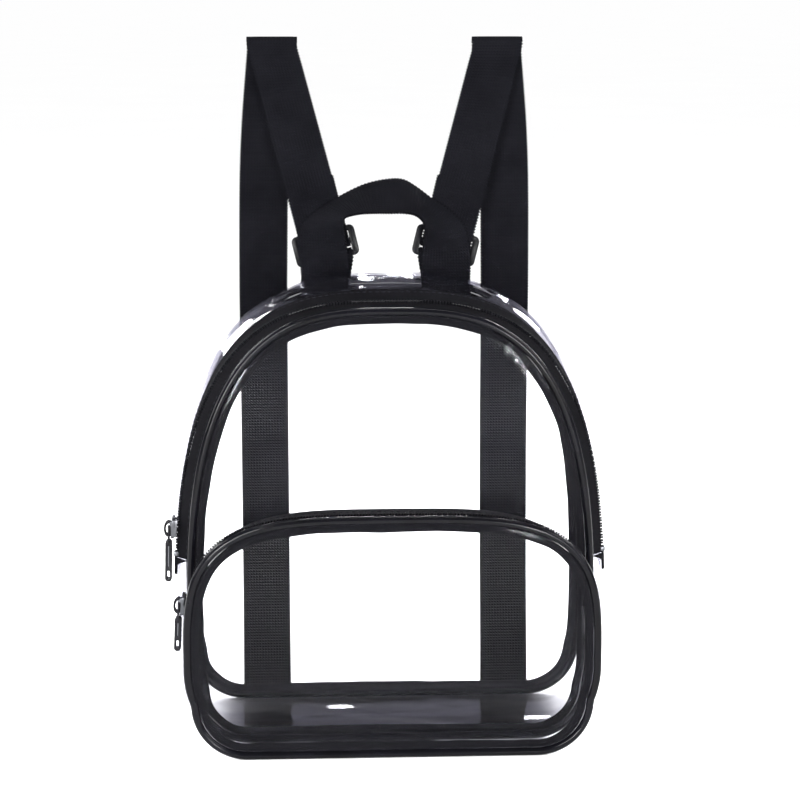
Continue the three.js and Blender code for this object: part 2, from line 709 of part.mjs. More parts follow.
// Shoulder strap: foot of the back panel, up behind the bag, over the top, down and round the glide's bar
function shoulderStrap(name, side) {
  const footZ = 2 * beadRadius + gap;
  const footY = mainDepth + wall / 2 + gap + webbingThickness / 2;
  const lowTop = strapTopZ - webbingThickness / 2 - strapFoldRadius;
  // Rear leg: rise as a share of its height, bow as a share of strapBow, lean from foot to top in X
  const rearLeg = [
    { rise: 0, bow: 0, lean: 0 },
    { rise: 0.06, bow: 0.12, lean: 0 },
    { rise: 0.2, bow: 0.62, lean: 0 },
    { rise: 0.42, bow: 1, lean: 0 },
    { rise: 0.65, bow: 0.9, lean: 0.02 },
    { rise: 0.85, bow: 0.62, lean: 0.3 },
    { rise: 1, bow: 0.44, lean: 1 },
  ];
  const up = rearLeg.map(({ rise, bow, lean }) => new THREE.Vector3(
    side * THREE.MathUtils.lerp(strapAnchorX, strapTopX, lean),
    footY + strapBow * bow,
    THREE.MathUtils.lerp(footZ, lowTop, rise),
  ));
  const rearY = up[up.length - 1].y;
  const frontY = strapTopY - strapFoldRadius;
  const fold = Array.from({ length: foldSteps - 1 }, (_, i) => {
    const a = ((i + 1) / foldSteps) * Math.PI;
    const y = (rearY + frontY) / 2 + ((rearY - frontY) / 2) * Math.cos(a);
    return new THREE.Vector3(side * strapTopX, y, lowTop + strapFoldRadius * Math.sin(a));
  });
  const frontTop = new THREE.Vector3(side * strapTopX, frontY, lowTop);
  const overGlide = glideBar + glideSlot + glideBar;
  const frontLow = glidePlace(side, overGlide, -wrapRadius);
  const down = smoothPlaces([frontTop, frontTop.clone().lerp(frontLow, 0.5), frontLow], frontLegSteps);
  const wrap = wrapPlaces(side, 0, -1);
  const tail = [overGlide, strapTailLength].map((u) => glidePlace(side, u, wrapRadius));
  const rear = smoothPlaces(up, rearLegSteps);
  const places = [...rear, ...fold, ...down, ...wrap, ...tail];
  const legStart = rear.length + fold.length;
  const flat = new THREE.Vector3(1, 0, 0);
  const widths = places.map((_, i) => {
    const share = THREE.MathUtils.clamp((i - legStart) / frontLegSteps, 0, 1);
    return flat.clone().lerp(glideWidth(side), share).normalize();
  });
  webbing(name, ribbonFrames(places, widths));
}

// Main bag
mainFrontPanel();
backPanel();
seamTrim("main_front", (inset) => mainOutline(0, inset), 0, mainZipEndZ, 1);
seamTrim("back", (inset) => mainOutline(mainDepth, inset), mainDepth, mainZipEndZ, -1);
const gussetFrom = beadRadius + gap;
const mainZip = zip("main", mainOutline, 0, mainZipEndZ, gussetFrom);
const gussetTo = mainDepth - beadRadius - gap;
const tabZ = mainZipEndZ - zipEndLength;

function topGusset() {
  const depths = depthSteps(mainZip.rearTo + gap, gussetTo, 6);
  const shell = wallSolid(gussetRows(mainOutline, 0, archPath, depths, tabZ), wall);
  const slots = [-1, 1].map((side) => {
    const reach = webbingWidth / 2 + 3 * gap;
    const front = Math.min(handleSeamY, handleY) - webbingThickness / 2 - gap;
    const low = seamHeight(handleX) - tailLength - gap;
    return boxAt(side * handleX - reach, side * handleX + reach, front, mainDepth, low, handleTopZ);
  });
  addPiece("top_gusset", cutAway(shell, ...slots), clearVinyl());
}

function bottomGusset() {
  const rows = gussetRows(mainOutline, 0, sillPath, depthSteps(gussetFrom, gussetTo, 6), tabZ - gap);
  addPiece("bottom_gusset", wallSolid(rows, wall), clearVinyl());
}

topGusset();
bottomGusset();
zipSlider("main", mainOutline, 0, mainZip.teethAt, mainSliderZ, mainPullLength, mainPullSwing);

// Front pocket
pocketPanel();
seamTrim("pocket", (inset) => pocketOutline(0, inset), -pocketDepth, pocketZipEndZ, 1);
const pocketRearDepth = pocketDepth - wall / 2 - gap;
const pocketZip = zip("pocket", pocketOutline, -pocketDepth, pocketZipEndZ, gussetFrom, pocketRearDepth);

function pocketGusset() {
  const depths = depthSteps(gussetFrom, pocketZip.rearTo, 4);
  const sillZ = pocketZipEndZ - zipEndLength - gap;
  const rows = gussetRows(pocketOutline, -pocketDepth, sillPath, depths, sillZ);
  addPiece("pocket_gusset", wallSolid(rows, wall), clearVinyl());
}

pocketGusset();
zipSlider("pocket", pocketOutline, -pocketDepth, pocketZip.teethAt, pocketSliderZ,
  pocketPullLength, pocketPullSwing);

// Carrying parts
grabHandle();
for (const [word, side] of [["left", -1], ["right", 1]]) {
  triGlide(`strap_slider_${word}`, side);
  anchorTab(`anchor_tab_${word}`, side);
  shoulderStrap(`shoulder_strap_${word}`, side);
}

const clearStadiumBackpack = new THREE.Group();
clearStadiumBackpack.add(bag);
export default clearStadiumBackpack;
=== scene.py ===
import math

import bpy
from mathutils import Matrix, Vector, noise


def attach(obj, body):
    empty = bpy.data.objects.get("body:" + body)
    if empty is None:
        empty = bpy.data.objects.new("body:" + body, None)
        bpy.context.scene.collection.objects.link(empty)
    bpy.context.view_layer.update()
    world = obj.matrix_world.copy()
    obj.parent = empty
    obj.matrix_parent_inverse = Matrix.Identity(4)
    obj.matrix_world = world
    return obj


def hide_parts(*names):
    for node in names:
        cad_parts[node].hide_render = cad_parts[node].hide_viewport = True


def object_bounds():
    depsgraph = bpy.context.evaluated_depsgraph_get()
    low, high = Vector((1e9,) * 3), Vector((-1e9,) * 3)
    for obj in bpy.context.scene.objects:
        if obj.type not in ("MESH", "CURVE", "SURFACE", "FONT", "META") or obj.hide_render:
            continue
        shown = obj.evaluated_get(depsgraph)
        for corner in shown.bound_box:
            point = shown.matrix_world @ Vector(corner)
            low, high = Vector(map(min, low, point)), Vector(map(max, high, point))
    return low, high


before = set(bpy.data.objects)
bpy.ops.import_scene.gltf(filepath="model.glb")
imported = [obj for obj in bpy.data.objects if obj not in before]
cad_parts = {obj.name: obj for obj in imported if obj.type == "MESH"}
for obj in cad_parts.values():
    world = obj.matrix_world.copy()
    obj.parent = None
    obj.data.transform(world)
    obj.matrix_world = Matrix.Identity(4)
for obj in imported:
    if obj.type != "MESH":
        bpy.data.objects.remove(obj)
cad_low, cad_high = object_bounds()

# Clear stadium backpack: vinyl film, beads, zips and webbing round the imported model
# Sizes are in millimetres. place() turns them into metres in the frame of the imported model.
MM = 0.001
ORIGIN_Y, ORIGIN_Z = 75.0, 348.4
BACK = Vector((0, 1, 0))
HANDS = (("left", -1), ("right", 1))


def place(x, y, z):
    """A point of the bag, with Z from the lowest bead and Y from the front seam."""
    return Vector((x, y - ORIGIN_Y, z - ORIGIN_Z)) * MM


def mixed(a, b, share):
    return a + (b - a) * share


def clamped(value, low=0.0, high=1.0):
    return max(low, min(high, value))


# Camera
camera = bpy.data.objects.new("camera", bpy.data.cameras.new("camera"))
bpy.context.scene.collection.objects.link(camera)
camera.location = (-0.0432, -1.107, 0.026)
camera.rotation_euler = (math.radians(90 - 10.892), 0, math.radians(-2.64))
camera.data.lens = 96.4
camera.data.sensor_width = 36
bpy.context.scene.camera = camera
bpy.context.scene.view_settings.view_transform = "Standard"

# Sizes of the main bag and of the pocket
MAIN_HALF, MAIN_DRAW, MAIN_TOP, MAIN_WIDEST, MAIN_POWER = 100.0, 2.5, 219.5, 50.0, 2.95
MAIN_DEPTH, SIDE_SWELL, CROWN_RISE = 70.0, 8.5, 13.0
POCKET_HALF, POCKET_DRAW, POCKET_TOP, POCKET_WIDEST, POCKET_POWER = 100.9, 3.4, 121.0, 45.0, 3.75
POCKET_DEPTH, POCKET_INSET = 24.0, 4.6
# BEAD is a bead's radius, GAP the room between neighbours and FILM the thickness of the film
CORNER, BEAD, GAP, FILM = 26.0, 2.0, 0.3, 0.8
PANEL_INSET = 2.1
BINDING_INSET, BINDING_WIDTH, BINDING_WAVE, BINDING_WALL = 1.9, 4.3, 0.45, 0.9
ZIP_END_MAIN, ZIP_END_POCKET = 95.0, 70.0
TAPE, TEETH, END_TAB, END_TAB_TAIL = 6.5, 1.2, 9.0, 4.5
ZIP_STEPS, TOOTH_PITCH = 300, 1.45
STITCH_RADIUS, STITCH_LENGTH = 0.28, 2.1

# Gusset sections: share of the depth, then shares of the swell and of the crown's rise
MAIN_SECTIONS = [(0, 0, 0), (0.14, 0.88, 0.25), (0.3, 0.97, 0.72),
                 (0.5, 1, 1), (0.75, 0.85, 0.92), (1, 0.47, 0.5)]
POCKET_SECTIONS = [(0, 0), (0.45, -0.2), (0.75, 0.35), (1, 1)]


def section_value(table, column, share):
    """Reads a section table smoothly."""
    share = clamped(share)
    row = next(i for i in range(1, len(table)) if table[i][0] >= share - 1e-9)
    a, b = table[row - 1], table[row]
    t = (share - a[0]) / (b[0] - a[0])
    return mixed(a[column], b[column], mixed(t, t * t * (3 - 2 * t), 0.25))


def main_outline(depth, inset=0.0):
    share = depth / MAIN_DEPTH
    side = SIDE_SWELL * section_value(MAIN_SECTIONS, 1, share) - inset
    crown = CROWN_RISE * section_value(MAIN_SECTIONS, 2, share) - inset
    return (MAIN_HALF + side, MAIN_HALF - MAIN_DRAW + side, MAIN_TOP + crown, MAIN_WIDEST,
            BEAD + inset, CORNER - inset, MAIN_POWER)


def pocket_outline(depth, inset=0.0):
    rear = POCKET_INSET * section_value(POCKET_SECTIONS, 1, depth / POCKET_DEPTH)
    step = inset + rear
    return (POCKET_HALF - step, POCKET_HALF - POCKET_DRAW - step, POCKET_TOP - inset, POCKET_WIDEST,
            BEAD + inset + max(0.0, rear), CORNER - inset, POCKET_POWER)


def half_outline(outline):
    """Right half of an outline, from the bottom centre to the crown."""
    half, base, top, widest, bottom, corner, power = outline
    points = [Vector((0, bottom))]
    centre = Vector((base - corner, bottom + corner))
    for i in range(25):
        a = i / 24 * math.pi / 2
        points.append(centre + corner * Vector((math.sin(a), -math.cos(a))))
    for i in range(1, 13):
        z = mixed(centre.y, widest, i / 12)
        below = (widest - z) / (widest - centre.y)
        points.append(Vector((half - (half - base) * below * below, z)))
    for i in range(1, 161):
        a = i / 160 * math.pi / 2
        rise = (top - widest) * math.sin(a) ** (2 / power)
        points.append(Vector((half * max(0.0, math.cos(a)) ** (2 / power), widest + rise)))
    return points


def cut_half(points, z, above):
    at = next(i for i, p in enumerate(points) if p.y >= z)
    a, b = points[at - 1], points[at]
    edge = a.lerp(b, (z - a.y) / (b.y - a.y))
    return [edge, *points[at:]] if above else [*points[:at], edge]


def even_steps(points, steps):
    """Points at even steps along a line of points."""
    reach = [0.0]
    for a, b in zip(points, points[1:]):
        reach.append(reach[-1] + (b - a).length)
    out, at = [], 1
    for i in range(steps + 1):
        want = reach[-1] * i / steps
        while at < len(points) - 1 and reach[at] < want:
            at += 1
        span = max(1e-12, reach[at] - reach[at - 1])
        out.append(points[at - 1].lerp(points[at], clamped((want - reach[at - 1]) / span)))
    return out


def arch_line(outline, y, z, steps):
    """Over the crown from left to right, from height z to height z."""
    right = even_steps(cut_half(half_outline(outline), z, True), steps // 2)
    left = [Vector((-p.x, p.y)) for p in right]
    return [place(p.x, y, p.y) for p in [*left, *right[-2::-1]]]


def sill_line(outline, y, z, steps):
    """Round the bottom from right to left, from height z to height z."""
    right = even_steps(cut_half(half_outline(outline), z, False), steps // 2)
    left = [Vector((-p.x, p.y)) for p in right]
    return [place(p.x, y, p.y) for p in [*right[::-1], *left[1:]]]


def ring_line(outline, y, steps):
    """The whole outline, clockwise seen from the front, from the bottom's middle."""
    right = even_steps(half_outline(outline), steps // 2)
    left = [Vector((-p.x, p.y)) for p in right]
    return [place(p.x, y, p.y) for p in [*left[:-1], *right[:0:-1]]]


def wavy(point, scale, seed):
    """Soft noise of a place, the same in each run, from -1 to 1."""
    return noise.noise(Vector((point.x * scale.x, point.y * scale.y, point.z * scale.z + seed * 7.31)))


# Modelling
def clear_choice():
    bpy.ops.object.select_all(action="DESELECT")


def chosen(piece):
    clear_choice()
    piece.select_set(True)
    bpy.context.view_layer.objects.active = piece
    return piece


def fresh(name):
    piece = bpy.context.view_layer.objects.active
    piece.name = piece.data.name = name
    return piece


def settle(piece):
    """Puts a piece's place into its mesh, at the frame's origin."""
    chosen(piece)
    bpy.ops.object.transform_apply(location=True, rotation=True, scale=True)
    return piece


def applied(piece, kind, **settings):
    chosen(piece)
    modifier = piece.modifiers.new(kind.title(), kind)
    for name, value in settings.items():
        setattr(modifier, name, value)
    bpy.ops.object.modifier_apply(modifier=modifier.name)
    return piece


def smooth_faces(piece, angle=40):
    chosen(piece)
    bpy.ops.object.shade_smooth_by_angle(angle=math.radians(angle))
    return piece


def outward(piece):
    chosen(piece)
    bpy.ops.object.mode_set(mode="EDIT")
    bpy.ops.mesh.select_all(action="SELECT")
    bpy.ops.mesh.normals_make_consistent(inside=False)
    bpy.ops.object.mode_set(mode="OBJECT")
    return piece


def pick_faces(piece, wanted):
    """Opens a piece in edit mode with the faces picked whose centre is wanted."""
    chosen(piece)
    bpy.ops.object.mode_set(mode="EDIT")
    bpy.ops.mesh.select_mode(type="FACE")
    bpy.ops.mesh.select_all(action="DESELECT")
    bpy.ops.object.mode_set(mode="OBJECT")
    for polygon in piece.data.polygons:
        polygon.select = bool(wanted(polygon.center))
    bpy.ops.object.mode_set(mode="EDIT")


def sheet_from_rows(name, rows, thickness, offset=-1.0, spare=None, ring=False):
    """A sheet laid along rows of points, with its sizes in metres as UV, and then given a wall.
    spare says whether a face at a place is cut out, and ring joins the rows' two ends."""
    down, across = len(rows), len(rows[0])
    clear_choice()
    bpy.ops.mesh.primitive_grid_add(x_subdivisions=across - 1, y_subdivisions=down - 1, calc_uvs=True)
    piece = fresh(name)
    mesh = piece.data
    mesh.vertices.foreach_set("co", [c for row in rows for p in row for c in p])
    along = [0.0]
    for a, b in zip(rows, rows[1:]):
        along.append(along[-1] + (b[across // 2] - a[across // 2]).length)
    wide = [0.0]
    for a, b in zip(rows[down // 2], rows[down // 2][1:]):
        wide.append(wide[-1] + (b - a).length)
    uv = mesh.uv_layers.active.data
    for loop in mesh.loops:
        uv[loop.index].uv = (wide[loop.vertex_index % across], along[loop.vertex_index // across])
    mesh.update()
    if spare:
        pick_faces(piece, spare)
        bpy.ops.mesh.delete(type="FACE")
        bpy.ops.object.mode_set(mode="OBJECT")
    if ring:
        applied(piece, "WELD", merge_threshold=0.00001)
    applied(piece, "SOLIDIFY", thickness=thickness * MM, offset=offset, use_even_offset=False)
    return piece


def hose_round(name, line, radius, sides):
    """A round bead along a closed line of points."""
    count = len(line)
    clear_choice()
    bpy.ops.mesh.primitive_torus_add(major_segments=count, minor_segments=sides, generate_uvs=True)
    piece = fresh(name)
    places = []
    for i, p in enumerate(line):
        along = (line[(i + 1) % count] - line[i - 1]).normalized()
        side = along.cross(BACK).normalized()
        for k in range(sides):
            a = 2 * math.pi * k / sides
            places += list(p + side * (math.cos(a) * radius * MM) + BACK * (math.sin(a) * radius * MM))
    piece.data.vertices.foreach_set("co", places)
    piece.data.update()
    return outward(piece)


def spline(points, steps, *followers):
    """Evenly parted points on a smooth line through points, and lists that follow it in step."""
    lists = [[row[0] * 2 - row[1], *row, row[-1] * 2 - row[-2]] for row in (points, *followers)]
    knots = [0.0]
    for a, b in zip(lists[0], lists[0][1:]):
        knots.append(knots[-1] + max(1e-4, (b - a).length ** 0.5))
    out = [[] for _ in lists]
    for i in range(steps + 1):
        want = mixed(knots[1], knots[-2], i / steps)
        k = next(j for j in range(1, len(knots) - 2) if want <= knots[j + 1] + 1e-9)
        t0, t1, t2, t3 = knots[k - 1:k + 3]
        for found, ends in zip(out, lists):
            p0, p1, p2, p3 = ends[k - 1:k + 3]
            a1, a2, a3 = (mixed(p, q, (want - s) / (t - s)) for p, q, s, t in
                          ((p0, p1, t0, t1), (p1, p2, t1, t2), (p2, p3, t2, t3)))
            b1, b2 = mixed(a1, a2, (want - t0) / (t2 - t0)), mixed(a2, a3, (want - t1) / (t3 - t1))
            found.append(mixed(b1, b2, (want - t1) / (t2 - t1)))
    return out if followers else out[0]


def outs_of(line):
    """Which way is out of the bag at each point of a line."""
    last = len(line) - 1
    alongs = [(line[min(i + 1, last)] - line[max(i - 1, 0)]).normalized() for i in range(last + 1)]
    return [along.cross(BACK).normalized() for along in alongs]


# Finishes
def finish(name, colour, roughness, metallic=0.0, level=0.12):
    made = bpy.data.materials.new(name)
    made.use_nodes = True
    shader = made.node_tree.nodes["Principled BSDF"]
    shader.inputs["Base Color"].default_value = (*colour, 1)
    shader.inputs["Roughness"].default_value = roughness
    shader.inputs["Metallic"].default_value = metallic
    shader.inputs["Specular IOR Level"].default_value = level
    return made, made.node_tree, shader


def add_node(tree, kind, **values):
    node = tree.nodes.new(kind)
    for socket, value in values.items():
        node.inputs[socket].default_value = value
    return node


def worked(tree, operation, *values):
    """What a math node makes of sockets and constants."""
    node = tree.nodes.new("ShaderNodeMath")
    node.operation = operation
    for socket, value in zip(node.inputs, values):
        if isinstance(value, (int, float)):
            socket.default_value = value
        else:
            tree.links.new(value, socket)
    return node.outputs[0]


def stripes(tree, value, pitch):
    """A sine of a length in metres that repeats at a pitch in millimetres."""
    return worked(tree, "SINE", worked(tree, "MULTIPLY", value, 2 * math.pi / (pitch * MM)))


def grain(tree, scale, detail=3.0):
    node = add_node(tree, "ShaderNodeTexNoise", Scale=scale, Detail=detail)
    tree.links.new(tree.nodes.new("ShaderNodeTexCoord").outputs["Object"], node.inputs["Vector"])
    return node.outputs["Fac"]


def blend_colours(tree, factor, dark, light, low=0.3, high=0.7):
    ramp = tree.nodes.new("ShaderNodeValToRGB")
    ramp.color_ramp.elements[0].color = (*dark, 1)
    ramp.color_ramp.elements[1].color = (*light, 1)
    ramp.color_ramp.elements[0].position = low
    ramp.color_ramp.elements[1].position = high
    tree.links.new(factor, ramp.inputs["Fac"])
    return ramp.outputs["Color"]


def raised(tree, shader, height, strength, distance):
    """Bumps on a shader, with their height in millimetres; returns the bumped normal."""
    bump = add_node(tree, "ShaderNodeBump", Strength=strength, Distance=distance * MM)
    tree.links.new(height, bump.inputs["Height"])
    tree.links.new(bump.outputs["Normal"], shader.inputs["Normal"])
    return bump.outputs["Normal"]


def ranged(tree, factor, low, high):
    node = tree.nodes.new("ShaderNodeMapRange")
    node.inputs["To Min"].default_value = low
    node.inputs["To Max"].default_value = high
    tree.links.new(factor, node.inputs["Value"])
    return node.outputs["Result"]


def mixed_shader(tree, share, first, second):
    node = tree.nodes.new("ShaderNodeMixShader")
    for value, socket in zip((share, first, second), node.inputs):
        tree.links.new(value, socket)
    return node.outputs[0]


def woven_finish(name, dark, light, pitch_across, pitch_along, strength):
    """Black weave that follows the piece's UV, which is in metres, with a painted highlight on its raised
    crests.
    """
    made, tree, shader = finish(name, dark, 0.78, level=0.03)
    uv = tree.nodes.new("ShaderNodeUVMap").outputs["UV"]
    parts = add_node(tree, "ShaderNodeSeparateXYZ")
    tree.links.new(uv, parts.inputs[0])
    across = stripes(tree, parts.outputs["X"], pitch_across)
    along = stripes(tree, parts.outputs["Y"], pitch_along)
    basket = worked(tree, "MULTIPLY", across, along)
    lifted = worked(tree, "MULTIPLY_ADD", basket, 0.5, 0.5)
    fluff = grain(tree, 900, 2)
    height = worked(tree, "ADD", lifted, worked(tree, "MULTIPLY", fluff, 0.15))
    raised(tree, shader, height, strength, 0.25)
    # Colour: the weave's raised crests are painted lighter, a painted highlight on the yarns, mixed with random
    # grain tone
    crest_highlight_and_tone = worked(tree, "ADD", worked(tree, "MULTIPLY", lifted, 0.6),
                   worked(tree, "MULTIPLY", grain(tree, 60), 0.4))
    tree.links.new(blend_colours(tree, crest_highlight_and_tone, dark, light, 0.25, 0.8), shader.inputs["Base Color"])
    tree.links.new(ranged(tree, fluff, 0.68, 0.92), shader.inputs["Roughness"])
    return made


def film_finish(name, tint, deep, haze, crease):
    """Clear film: see-through, with a mirror gloss that grows towards grazing, and a little haze."""
    made, tree, shader = finish(name, (0.9, 0.9, 0.93), 0.06, metallic=1.0)
    clear = add_node(tree, "ShaderNodeBsdfTransparent")
    milky = add_node(tree, "ShaderNodeBsdfDiffuse", Color=(0.72, 0.72, 0.82, 1))
    facing = add_node(tree, "ShaderNodeLayerWeight", Blend=0.5).outputs["Facing"]
    grazing = worked(tree, "POWER", facing, 4.0)
    gloss = worked(tree, "MULTIPLY_ADD", grazing, 0.5, 0.0018)
    # The film looks deeper in colour where it is seen at a slant
    tree.links.new(blend_colours(tree, grazing, tint, deep, 0.0, 1.0), clear.inputs["Color"])
    folds = grain(tree, 26, 2)
    fine = grain(tree, 190, 3)
    height = worked(tree, "ADD", folds, worked(tree, "MULTIPLY", fine, 0.06))
    bumped = raised(tree, shader, height, crease, 3.0)
    tree.links.new(ranged(tree, fine, 0.02, 0.07), shader.inputs["Roughness"])
    tree.links.new(bumped, milky.inputs["Normal"])
    glossy = mixed_shader(tree, gloss, clear.outputs[0], shader.outputs[0])
    hazy = mixed_shader(tree, ranged(tree, folds, haze * 0.5, haze * 1.5), glossy, milky.outputs[0])
    tree.links.new(hazy, tree.nodes["Material Output"].inputs["Surface"])
    return made


def gloss_finish(name, colour, worn, roughness, scale, strength, metallic=0.0, level=0.12):
    """A smooth moulded or enamelled finish with fine grain and uneven polish."""
    made, tree, shader = finish(name, colour, roughness, metallic, level=level)
    skin = grain(tree, scale, 4)
    patches = grain(tree, scale / 12, 3)
    raised(tree, shader, skin, strength, 0.1)
    tree.links.new(blend_colours(tree, patches, colour, worn, 0.35, 0.75), shader.inputs["Base Color"])
    tree.links.new(ranged(tree, patches, roughness * 0.75, roughness * 1.35), shader.inputs["Roughness"])
    return made


clear_film = film_finish("clear_film", tint=(0.98, 0.98, 0.987), deep=(0.72, 0.71, 0.79),
                         haze=0.0008, crease=0.3)
bead_gloss = gloss_finish("bead_gloss", (0.0015, 0.0015, 0.002), (0.003, 0.003, 0.0045),
                          roughness=0.15, scale=500, strength=0.04, level=0.1)
# The second colour of each weave is the colour of its crests: a painted highlight, mixed with random grain tone
tape_weave = woven_finish("tape_weave", (0.0008, 0.0008, 0.0011), (0.006, 0.006, 0.0075),
                          pitch_across=0.9, pitch_along=1.1, strength=0.35)
strap_weave = woven_finish("strap_weave", (0.0006, 0.0006, 0.0012), (0.0058, 0.0059, 0.0078),
                           pitch_across=1.5, pitch_along=1.5, strength=0.5)
coil_gloss = gloss_finish("coil_gloss", (0.003, 0.003, 0.004), (0.010, 0.010, 0.012),
                          roughness=0.65, scale=1200, strength=0.1, level=0.03)
enamel = gloss_finish("enamel", (0.002, 0.002, 0.003), (0.006, 0.006, 0.008),
                      roughness=0.2, scale=500, strength=0.08)
slider_metal = gloss_finish("slider_metal", (0.03, 0.031, 0.035), (0.10, 0.102, 0.11),
                            roughness=0.24, scale=400, strength=0.12, metallic=0.9)
moulded_black = gloss_finish("moulded_black", (0.0015, 0.0015, 0.002), (0.004, 0.004, 0.0055),
                             roughness=0.25, scale=1600, strength=0.12, level=0.05)
thread = gloss_finish("thread", (0.004, 0.004, 0.006), (0.014, 0.014, 0.018),
                      roughness=0.6, scale=2500, strength=0.3, level=0.05)


def dressed(piece, material, slot, body, *nodes):
    """Gives a finished piece its finish and its body, and hides the nodes that it stands for. slot is not used.
    """
    piece.data.materials.clear()
    piece.data.materials.append(material)
    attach(piece, body)
    if nodes:
        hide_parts(*nodes)
    return piece


# Clear panels: a flattened ball whose upper half is the outer face
def panel(name, outline, y, facing, bulge, crease, node):
    segments, rings = 192, 64
    clear_choice()
    bpy.ops.mesh.primitive_uv_sphere_add(segments=segments, ring_count=rings, radius=1)
    piece = fresh(name)
    rim = ring_line(outline, y, segments)
    middle = sum(rim, Vector()) / len(rim)
    for vertex in piece.data.vertices:
        c = vertex.co.normalized()
        tilt = math.acos(clamped(c.z, -1, 1)) / (math.pi / 2)
        share = tilt if tilt <= 1 else 2 - tilt
        turn = (math.atan2(c.y, c.x) / (2 * math.pi)) % 1 * segments
        at = rim[int(round(turn)) % segments]
        p = middle.lerp(at, share)
        wall = FILM / 2 * MM * min(1, (1 - share) * 40) * (1 if tilt <= 1 else -1)
        lift = bulge(p) * MM + crease * MM * wavy(p, Vector((14, 1, 9)), 3) * math.sin(math.pi * share) ** 2
        vertex.co = p + Vector((0, facing * (lift + wall), 0))
    piece.data.update()
    outward(piece)
    smooth_faces(piece, 60)
    return dressed(piece, clear_film, "clear_vinyl", "bag", node)


def swell(value, low, high):
    return math.sin(math.pi * clamped((value - low) / (high - low))) ** 2


low_z = place(0, 0, 0).z
main_half = MAIN_HALF * MM
panel("front_film", main_outline(0, PANEL_INSET), 0, -1,
      lambda p: 2.5 * swell(p.x, -main_half, main_half) * swell(p.z, low_z + 0.123, low_z + MAIN_TOP * MM),
      1.2, "main_front_panel")
panel("back_film", main_outline(MAIN_DEPTH, PANEL_INSET), MAIN_DEPTH, 1,
      lambda p: 2.0 * swell(p.x, -main_half, main_half) * swell(p.z, low_z, low_z + MAIN_TOP * MM),
      1.0, "back_panel")
panel("pocket_film", pocket_outline(0, PANEL_INSET), -POCKET_DEPTH, -1,
      lambda p: 4.0 * swell(p.x, -main_half, main_half) * swell(p.z, low_z, low_z + POCKET_TOP * MM),
      1.9, "pocket_panel")


# Gussets: lofted film with folds that run round the bag
def film_band(name, outline, y0, line, depths, z, steps, fold, seed, node, spare=None):
    rows = []
    for j, depth in enumerate(depths):
        base = line(outline(depth), y0 + depth, z(depth) if callable(z) else z, steps)
        share = j / (len(depths) - 1)
        row = []
        for i, (p, out) in enumerate(zip(base, outs_of(base))):
            ends = min(1, i / 6, (steps - i) / 6)
            soft = math.sin(math.pi * share) ** 0.8 * ends
            turn = Vector((i * 0.022, 0, share * 3.4))
            ripple = (noise.noise(turn + Vector((seed, 0, 0)))
                      + 0.5 * noise.noise(turn * 2.7 + Vector((0, seed, 0))))
            row.append(p + out * (fold * MM * ripple * soft))
        rows.append(row)
    piece = sheet_from_rows(name, rows, FILM, offset=-1, spare=spare)
    smooth_faces(outward(piece), 50)
    return dressed(piece, clear_film, "clear_vinyl", "bag", node)


def spread(low, high, steps):
    return [mixed(low, high, i / steps) for i in range(steps + 1)]


GUSSET_FROM = BEAD + GAP
GUSSET_TO = MAIN_DEPTH - BEAD - GAP
TEETH_AT = GUSSET_FROM + TAPE + GAP + TEETH
REAR_FROM = TEETH_AT + TEETH + GAP
REAR_TO = REAR_FROM + TAPE
POCKET_REAR_TO = POCKET_DEPTH - 0.5 - GAP
TAB_MAIN = ZIP_END_MAIN - END_TAB
TAB_POCKET = ZIP_END_POCKET - END_TAB
HANDLE_X, HANDLE_Y = 31.0, 61.5
WEBBING, WEBBING_THICK, WEBBING_RIB = 25.0, 1.6, 1.5


def seam_height(x):
    return next(p.y for p in half_outline(main_outline(MAIN_DEPTH)) if p.y > MAIN_WIDEST and p.x <= x)


SEAM_Z = seam_height(HANDLE_X)


def in_webbing_slot(centre):
    """Where the handle and the tabs come out through the gusset."""
    x, y, z = centre.x / MM, centre.y / MM + ORIGIN_Y, centre.z / MM + ORIGIN_Z
    return abs(abs(x) - HANDLE_X) < WEBBING / 2 + 0.9 and y > HANDLE_Y - 1.1 and z > SEAM_Z - 10.3


film_band("crown_film", main_outline, 0, arch_line, spread(REAR_TO + GAP, GUSSET_TO, 34), TAB_MAIN, 300,
          2.2, 11.0, "top_gusset", in_webbing_slot)
film_band("base_film", main_outline, 0, sill_line, spread(GUSSET_FROM, GUSSET_TO, 34),
          lambda depth: (ZIP_END_MAIN if depth < REAR_TO else TAB_MAIN) - GAP, 240, 1.0, 23.0, "bottom_gusset")
film_band("pocket_side_film", pocket_outline, -POCKET_DEPTH, sill_line, spread(GUSSET_FROM, POCKET_REAR_TO, 16),
          ZIP_END_POCKET - GAP, 240, 0.7, 31.0, "pocket_gusset")


# Beads and the inner binding of each seam
def seam(word, outline, y, inward):
    line = ring_line(outline(0), y, 256)
    bead = hose_round(f"{word}_bead", line, BEAD, 14)
    smooth_faces(bead, 60)
    dressed(bead, bead_gloss, "piping", "bag", f"{word}_piping")
    steps = 420
    outer = ring_line(outline(BINDING_INSET), y + inward * BINDING_WALL, steps)
    rows = []
    for share in spread(0, 1, 8):
        row = []
        for i, p in enumerate(outer):
            along = (outer[(i + 1) % steps] - outer[i - 1]).normalized()
            out = along.cross(BACK).normalized()
            drift = BINDING_WAVE * wavy(p, Vector((70, 1, 70)), 5) * share
            dip = 0.15 * math.sin(9 * share)
            row.append(p - out * ((BINDING_WIDTH * share + drift) * MM) + BACK * (inward * dip * MM))
        rows.append([*row, row[0]])
    binding = sheet_from_rows(f"{word}_tape", rows, BINDING_WALL, offset=-1 if inward > 0 else 1, ring=True)
    smooth_faces(outward(binding), 50)
    dressed(binding, tape_weave, "zip_tape", "bag", f"{word}_binding")


seam("main_front", lambda inset: main_outline(0, inset), 0.0, 1)
seam("back", lambda inset: main_outline(MAIN_DEPTH, inset), MAIN_DEPTH, -1)
seam("pocket", lambda inset: pocket_outline(0, inset), -POCKET_DEPTH, 1)


